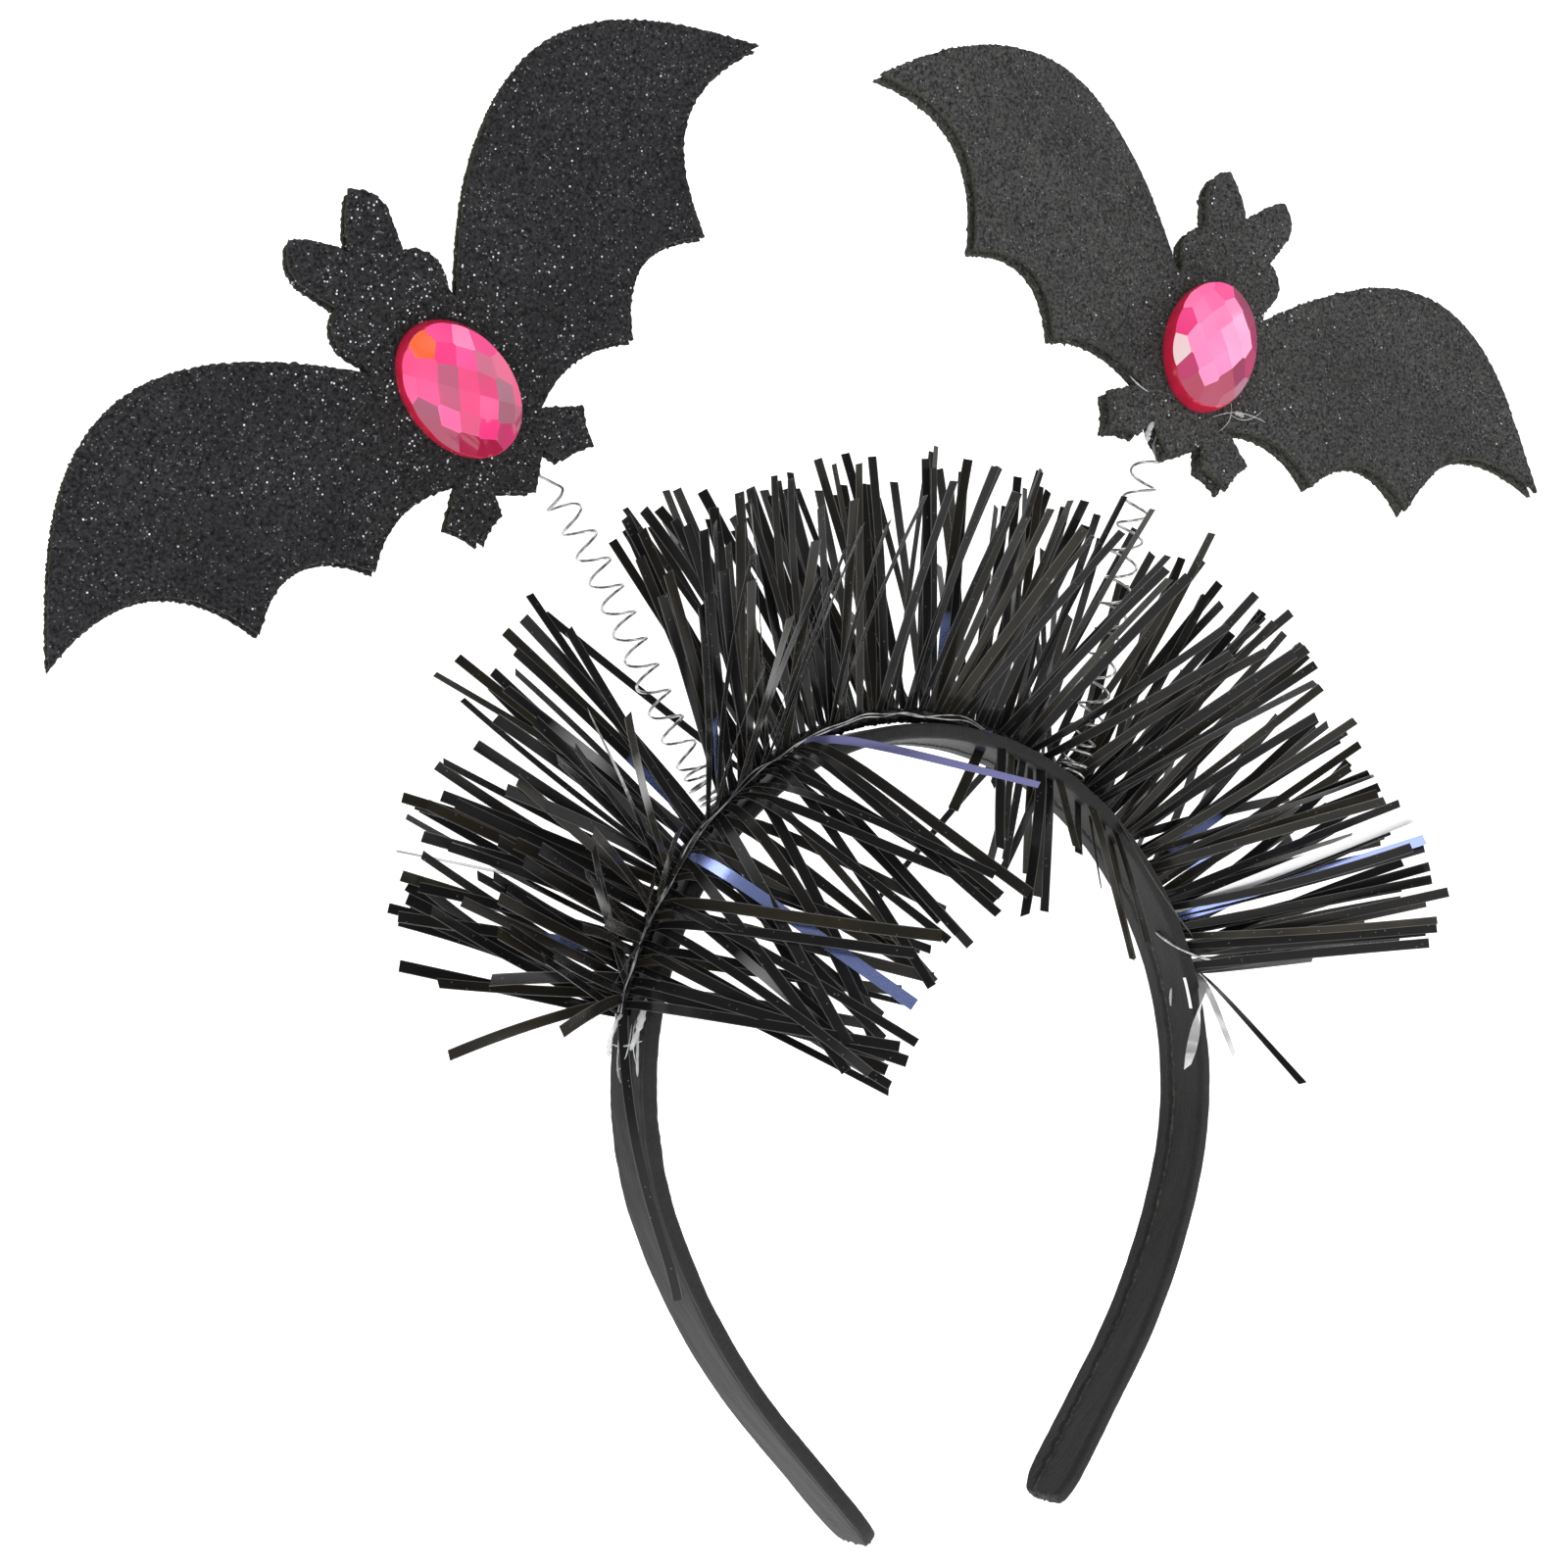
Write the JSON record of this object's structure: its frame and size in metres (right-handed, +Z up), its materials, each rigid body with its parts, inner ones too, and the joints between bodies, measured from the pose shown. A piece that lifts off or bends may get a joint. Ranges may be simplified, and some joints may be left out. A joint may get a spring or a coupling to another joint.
{
  "type": "bat headband",
  "caption": "Fabric-covered headband with a black foil tinsel garland and two foam bats on wire springs, each with an oval pink faceted stone.",
  "frame": {"origin": "inner top of the hoop's arch, in the middle of its width, where it rests on the head", "axes": "+Z up, +X across the head toward the wearer's left, which is the picture's right, -Y the front that the bats face"},
  "size_m": [0.2704, 0.0736, 0.2574],
  "materials": {
    "sleeve": "matt charcoal sleeve with a faint nap",
    "foil": "glossy black foil",
    "wire": "bright drawn wire",
    "foam": "black foam sheet with fine glitter",
    "stone": "polished pink acrylic, foil-backed"
  },
  "bodies": {
    "root": {"band": "sleeve", "tinsel": "foil", "spring_left": "wire", "spring_right": "wire", "bat_left_front": "foam", "bat_left_back": "foam", "bat_right_front": "foam", "bat_right_back": "foam", "gem_left": "stone", "gem_right": "stone"}
  },
  "joints": []
}
